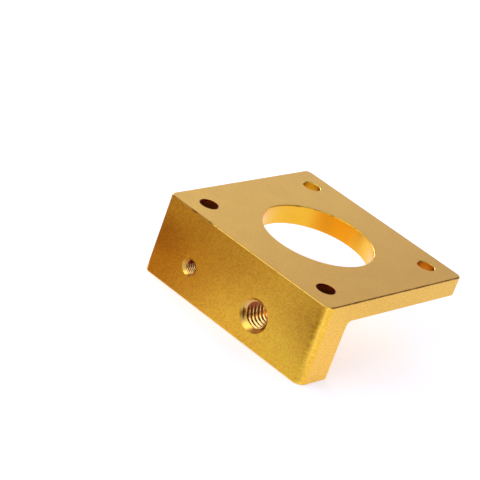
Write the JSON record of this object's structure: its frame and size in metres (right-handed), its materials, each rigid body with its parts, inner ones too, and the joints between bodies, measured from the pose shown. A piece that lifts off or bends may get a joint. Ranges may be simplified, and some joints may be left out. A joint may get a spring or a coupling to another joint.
{
  "type": "motor bracket",
  "caption": "Milled angle bracket for a filament extruder: a square plate with a pilot bore and corner screw holes, and a thick edge flange with tapped cross holes.",
  "frame": {"origin": "centre of the pilot bore, on the flat face that meets the motor", "axes": "+Z out of the motor face, along the motor shaft and towards the motor; +X along the flange; -Y out through the flange's outer face, and the flange reaches down in -Z"},
  "size_m": [0.0422, 0.0414, 0.0169],
  "materials": {
    "anodised_aluminium": "satin gold anodised, fine blasted grain"
  },
  "bodies": {
    "root": {"motor_bracket": "anodised_aluminium"}
  },
  "joints": []
}
